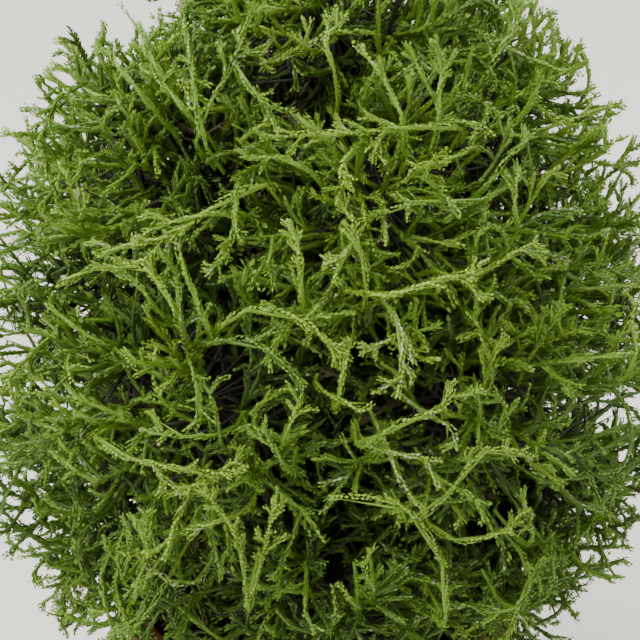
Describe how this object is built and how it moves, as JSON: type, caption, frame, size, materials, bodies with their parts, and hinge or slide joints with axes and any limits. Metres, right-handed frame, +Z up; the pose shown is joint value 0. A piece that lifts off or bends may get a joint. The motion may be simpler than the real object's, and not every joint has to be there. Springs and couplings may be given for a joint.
{
  "type": "potted lycopodioides lawson cypress",
  "caption": "Dwarf conifer with a dense egg-shaped crown of cord-like twisting shoots, in a plain clay flowerpot.",
  "frame": {"origin": "middle of the pot's flat underside", "axes": "+Z up along the pot and trunk, -Y towards the front"},
  "size_m": [0.2692, 0.2632, 0.4432],
  "materials": {
    "clay": "unglazed fired clay, matt, with pale mineral bloom",
    "soil": "damp bark and peat compost",
    "bark": "fibrous red-brown bark in long strips",
    "foliage": "small overlapping scale leaves, green with yellow-green tips"
  },
  "bodies": {
    "root": {"pot": "clay", "soil": "soil", "trunk": "bark", "bough_low_1": "bark", "bough_low_2": "bark", "bough_low_3": "bark", "bough_low_4": "bark", "bough_low_5": "bark", "bough_middle_1": "bark", "bough_middle_2": "bark", "bough_middle_3": "bark", "bough_middle_4": "bark", "bough_middle_5": "bark", "bough_high_1": "bark", "bough_high_2": "bark", "bough_high_3": "bark", "bough_high_4": "bark", "foliage_low_1": "foliage", "foliage_low_2": "foliage", "foliage_low_3": "foliage", "foliage_low_4": "foliage", "foliage_low_5": "foliage", "foliage_middle_1": "foliage", "foliage_middle_2": "foliage", "foliage_middle_3": "foliage", "foliage_middle_4": "foliage", "foliage_middle_5": "foliage", "foliage_high_1": "foliage", "foliage_high_2": "foliage", "foliage_high_3": "foliage", "foliage_high_4": "foliage", "foliage_top": "foliage"}
  },
  "joints": []
}
